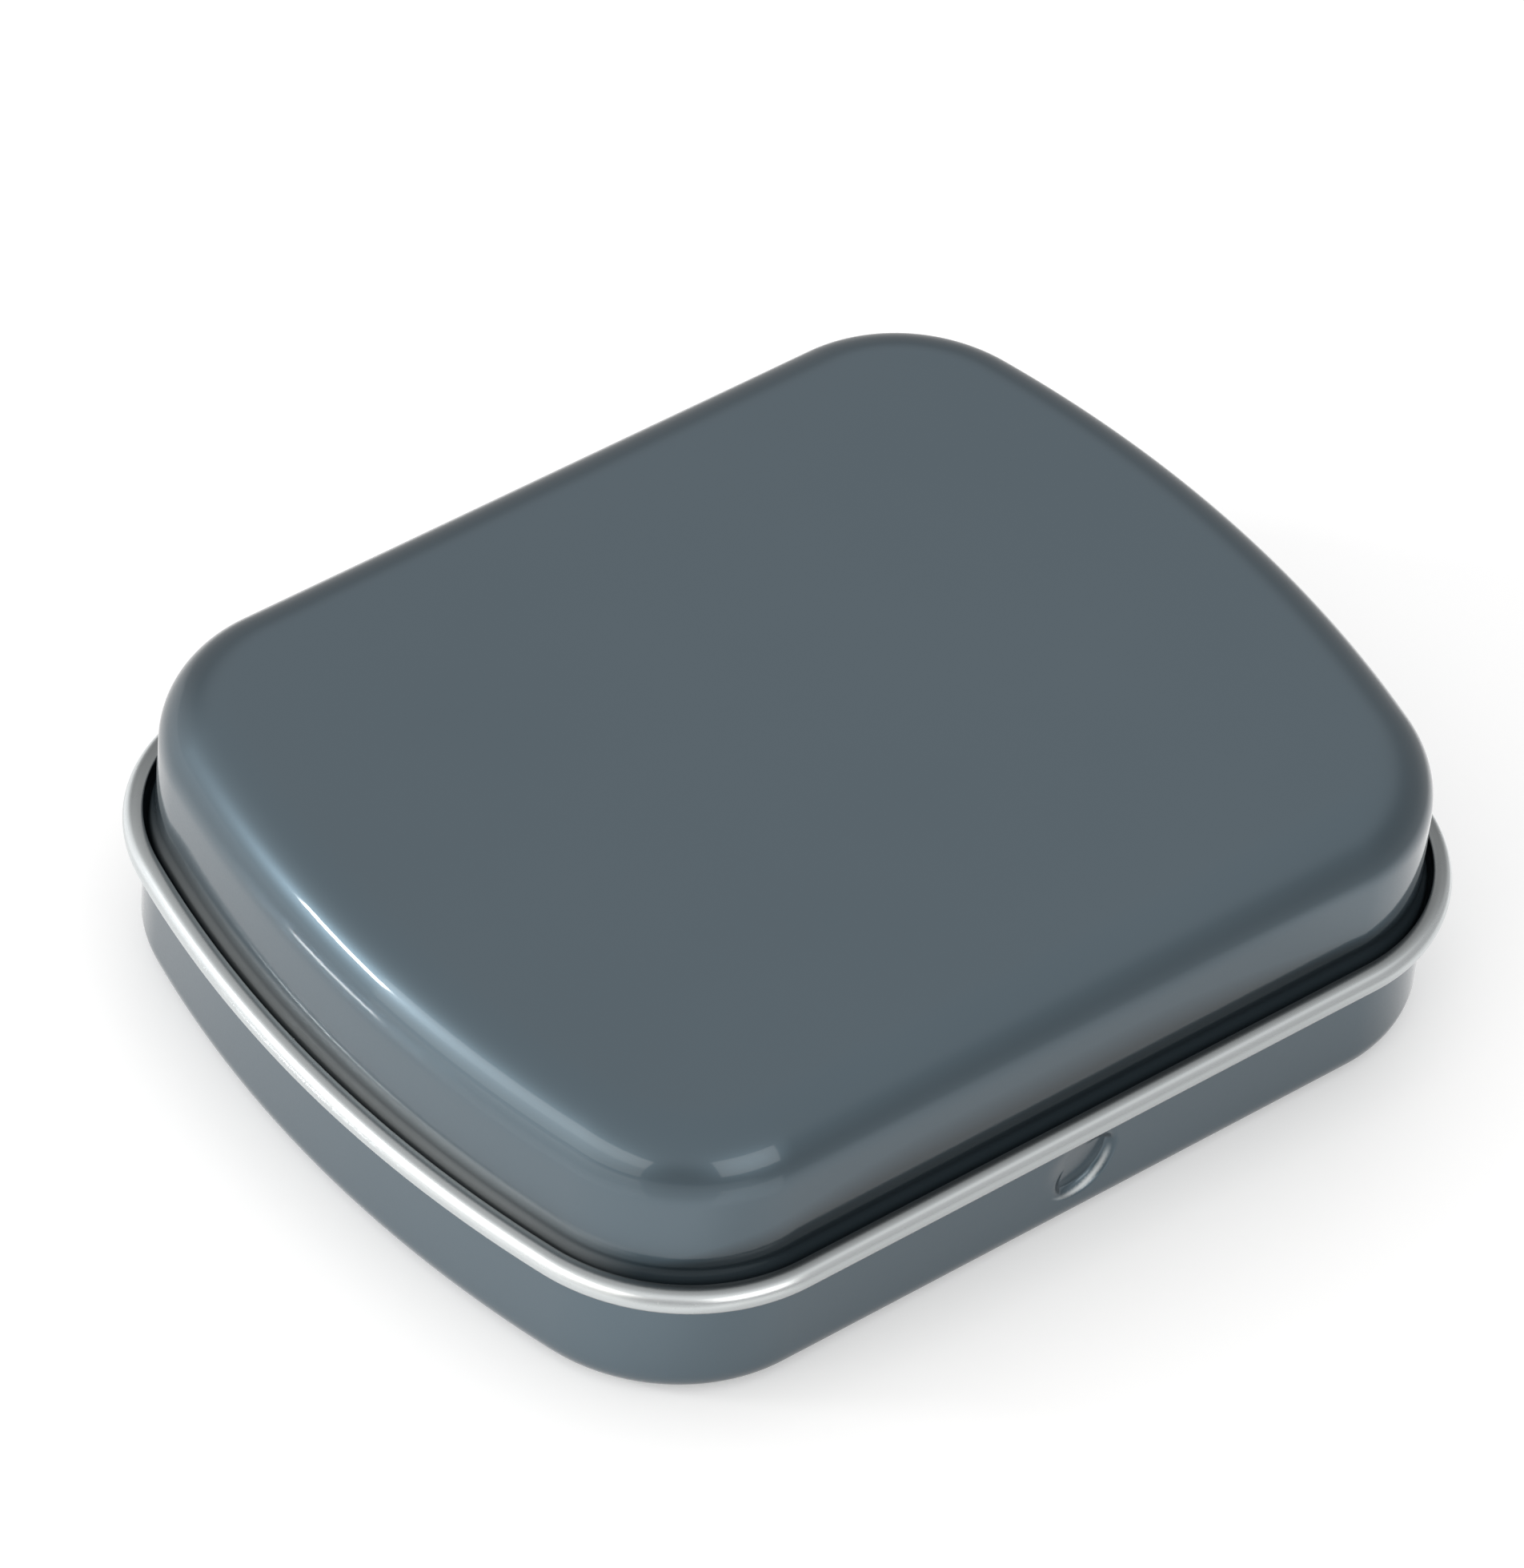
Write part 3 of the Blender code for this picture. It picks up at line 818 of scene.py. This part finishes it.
def floor():
    """A pale floor that shows white behind the tin and keeps its shadow, with painted light and
    shade that only its mirror image in the tin shows.
    """
    edit = bmesh.new()
    bmesh.ops.create_grid(edit, x_segments=1, y_segments=1, size=FLOOR_REACH)
    mesh = bpy.data.meshes.new("floor")
    edit.to_mesh(mesh)
    edit.free()
    mesh.transform(Matrix.Translation((0, 0, -FLOOR_DROP)))
    ground = put("floor", mesh)
    n = Nodes("floor")
    flat = n.vector("LENGTH", n.vector("MULTIPLY", n.space, (1, 1, 0)))
    near = n.eased(flat, FLOOR_FAR, FLOOR_NEAR)
    beside = n.eased(n.math("ABSOLUTE", n.part(0)), FLOOR_SIDE_START, FLOOR_SIDE_END)
    rays = n.tree.nodes.new("ShaderNodeLightPath")
    mirrored = rays.outputs["Is Glossy Ray"]
    seen = n.math("MAXIMUM", rays.outputs["Is Camera Ray"], rays.outputs["Is Transmission Ray"])
    direct = n.math("MULTIPLY", seen, FLOOR_LIFT)
    far = n.math("SUBTRACT", 1, near)
    left = n.eased(n.part(0), FLOOR_LEFT_START, FLOOR_LEFT_END)
    # Painted light in the floor that only mirrored rays see: brighter near the tin, most beside it,
    # and far off to its left
    near_painted_light = n.math("MULTIPLY", n.ramp(beside, FLOOR_FRONT_PAINTED_LIGHT, FLOOR_SIDE_PAINTED_LIGHT), near)
    far_painted_light = n.math("MULTIPLY", n.math("MULTIPLY", left, FLOOR_LEFT_PAINTED_LIGHT), far)
    lift = n.math("ADD", direct, n.math("MULTIPLY", mirrored, n.math("ADD", near_painted_light, far_painted_light)))
    # Painted shade in the floor that only mirrored rays see: darker far off, except to the left
    far_painted_shade = n.math("MULTIPLY", n.math("MULTIPLY", mirrored, far), n.math("SUBTRACT", 1, left))
    tones = [(tone, tone, tone, 1) for tone in (FLOOR_TONE, FLOOR_FAR_SHADE_TONE)]
    n.link(n.mix_colour(far_painted_shade, *tones), n.shader.inputs["Base Color"])
    n.shader.inputs["IOR"].default_value = FLOOR_IOR
    softness = n.ramp(rays.outputs["Is Camera Ray"], FLOOR_GLOSS, FLOOR_SOFTNESS)
    n.link(softness, n.shader.inputs["Roughness"])
    n.shader.inputs["Emission Color"].default_value = WHITE
    n.link(lift, n.shader.inputs["Emission Strength"])
    mesh.materials.append(n.material)


def lamp(name, azimuth, elevation, half_width, half_height, radiance, colour):
    """A soft lamp seen from the tin at that place and size."""
    way = direction(azimuth, elevation)
    data = bpy.data.lights.new(name, "AREA")
    data.shape = "RECTANGLE"
    data.size = 2 * LAMP_DISTANCE * math.tan(math.radians(half_width))
    data.size_y = 2 * LAMP_DISTANCE * math.tan(math.radians(half_height))
    data.energy = WATTS_PER_RADIANCE * radiance * data.size * data.size_y
    data.color = colour
    made = put(name, data)
    made.location = way * LAMP_DISTANCE
    made.rotation_mode = "QUATERNION"
    made.rotation_quaternion = (-way).to_track_quat("-Z", "Y")
    made.visible_camera = False


def toward(tree, side, start):
    """How far a direction of the studio turns to one side, from 0 at a cosine of start to 1."""
    space = tree.nodes.new("ShaderNodeTexCoord")
    turn = tree.nodes.new("ShaderNodeVectorMath")
    turn.operation = "DOT_PRODUCT"
    turn.inputs[1].default_value = direction(*side)
    tree.links.new(space.outputs["Generated"], turn.inputs[0])
    share = tree.nodes.new("ShaderNodeMapRange")
    share.interpolation_type = "SMOOTHSTEP"
    share.inputs["From Min"].default_value = start
    share.inputs["From Max"].default_value = 1.0
    tree.links.new(turn.outputs["Value"], share.inputs["Value"])
    return share.outputs["Result"]


def light():
    """Soft studio light, brighter overhead than at the horizon and stronger from the left."""
    world = bpy.data.worlds.new("studio")
    bpy.context.scene.world = world
    world.use_nodes = True
    tree = world.node_tree
    space = tree.nodes.new("ShaderNodeTexCoord")
    height = tree.nodes.new("ShaderNodeSeparateXYZ")
    tree.links.new(space.outputs["Generated"], height.inputs["Vector"])
    rise = tree.nodes.new("ShaderNodeMapRange")
    rise.interpolation_type = "SMOOTHSTEP"
    rise.inputs["From Min"].default_value = math.sin(math.radians(HORIZON_ELEVATION))
    rise.inputs["From Max"].default_value = math.sin(math.radians(SKY_ELEVATION))
    rise.inputs["To Min"].default_value = HORIZON_LEVEL
    rise.inputs["To Max"].default_value = SKY_LEVEL
    tree.links.new(height.outputs["Z"], rise.inputs["Value"])
    glow = tree.nodes.new("ShaderNodeMapRange")
    glow.inputs["To Max"].default_value = GLOW_LEVEL
    tree.links.new(toward(tree, GLOW_SIDE, GLOW_START), glow.inputs["Value"])
    tree.links.new(rise.outputs["Result"], glow.inputs["To Min"])
    sky = tree.nodes["Background"]
    sky.inputs["Color"].default_value = WHITE
    tree.links.new(glow.outputs["Result"], sky.inputs["Strength"])
    lamp("soft_box", *SOFT_BOX)
    lamp("low_box", *LOW_BOX)
    lamp("strip_box", *STRIP_BOX)
    lamp("front_box", *FRONT_BOX)


def camera():
    """The photograph's view."""
    back = direction(VIEW_AZIMUTH, VIEW_ELEVATION)
    a = math.radians(VIEW_AZIMUTH)
    level = Vector((math.cos(a), math.sin(a), 0))
    tilt = Matrix.Rotation(math.radians(VIEW_ROLL), 3, back)
    right = tilt @ level
    up = back.cross(right)
    data = bpy.data.cameras.new("camera")
    data.lens = FOCAL_LENGTH
    data.sensor_width = LONG_SIDE
    data.clip_start = VIEW_DISTANCE / CLIP_SHARE
    data.clip_end = VIEW_DISTANCE * CLIP_SHARE
    eye = put("camera", data)
    turn = Matrix((right, up, back)).transposed().to_4x4()
    place_of_eye = back * VIEW_DISTANCE - right * VIEW_RIGHT - up * VIEW_UP
    eye.matrix_world = Matrix.Translation(place_of_eye) @ turn
    bpy.context.scene.camera = eye


dress()
floor()
light()
camera()
bpy.context.scene.view_settings.view_transform = "Standard"
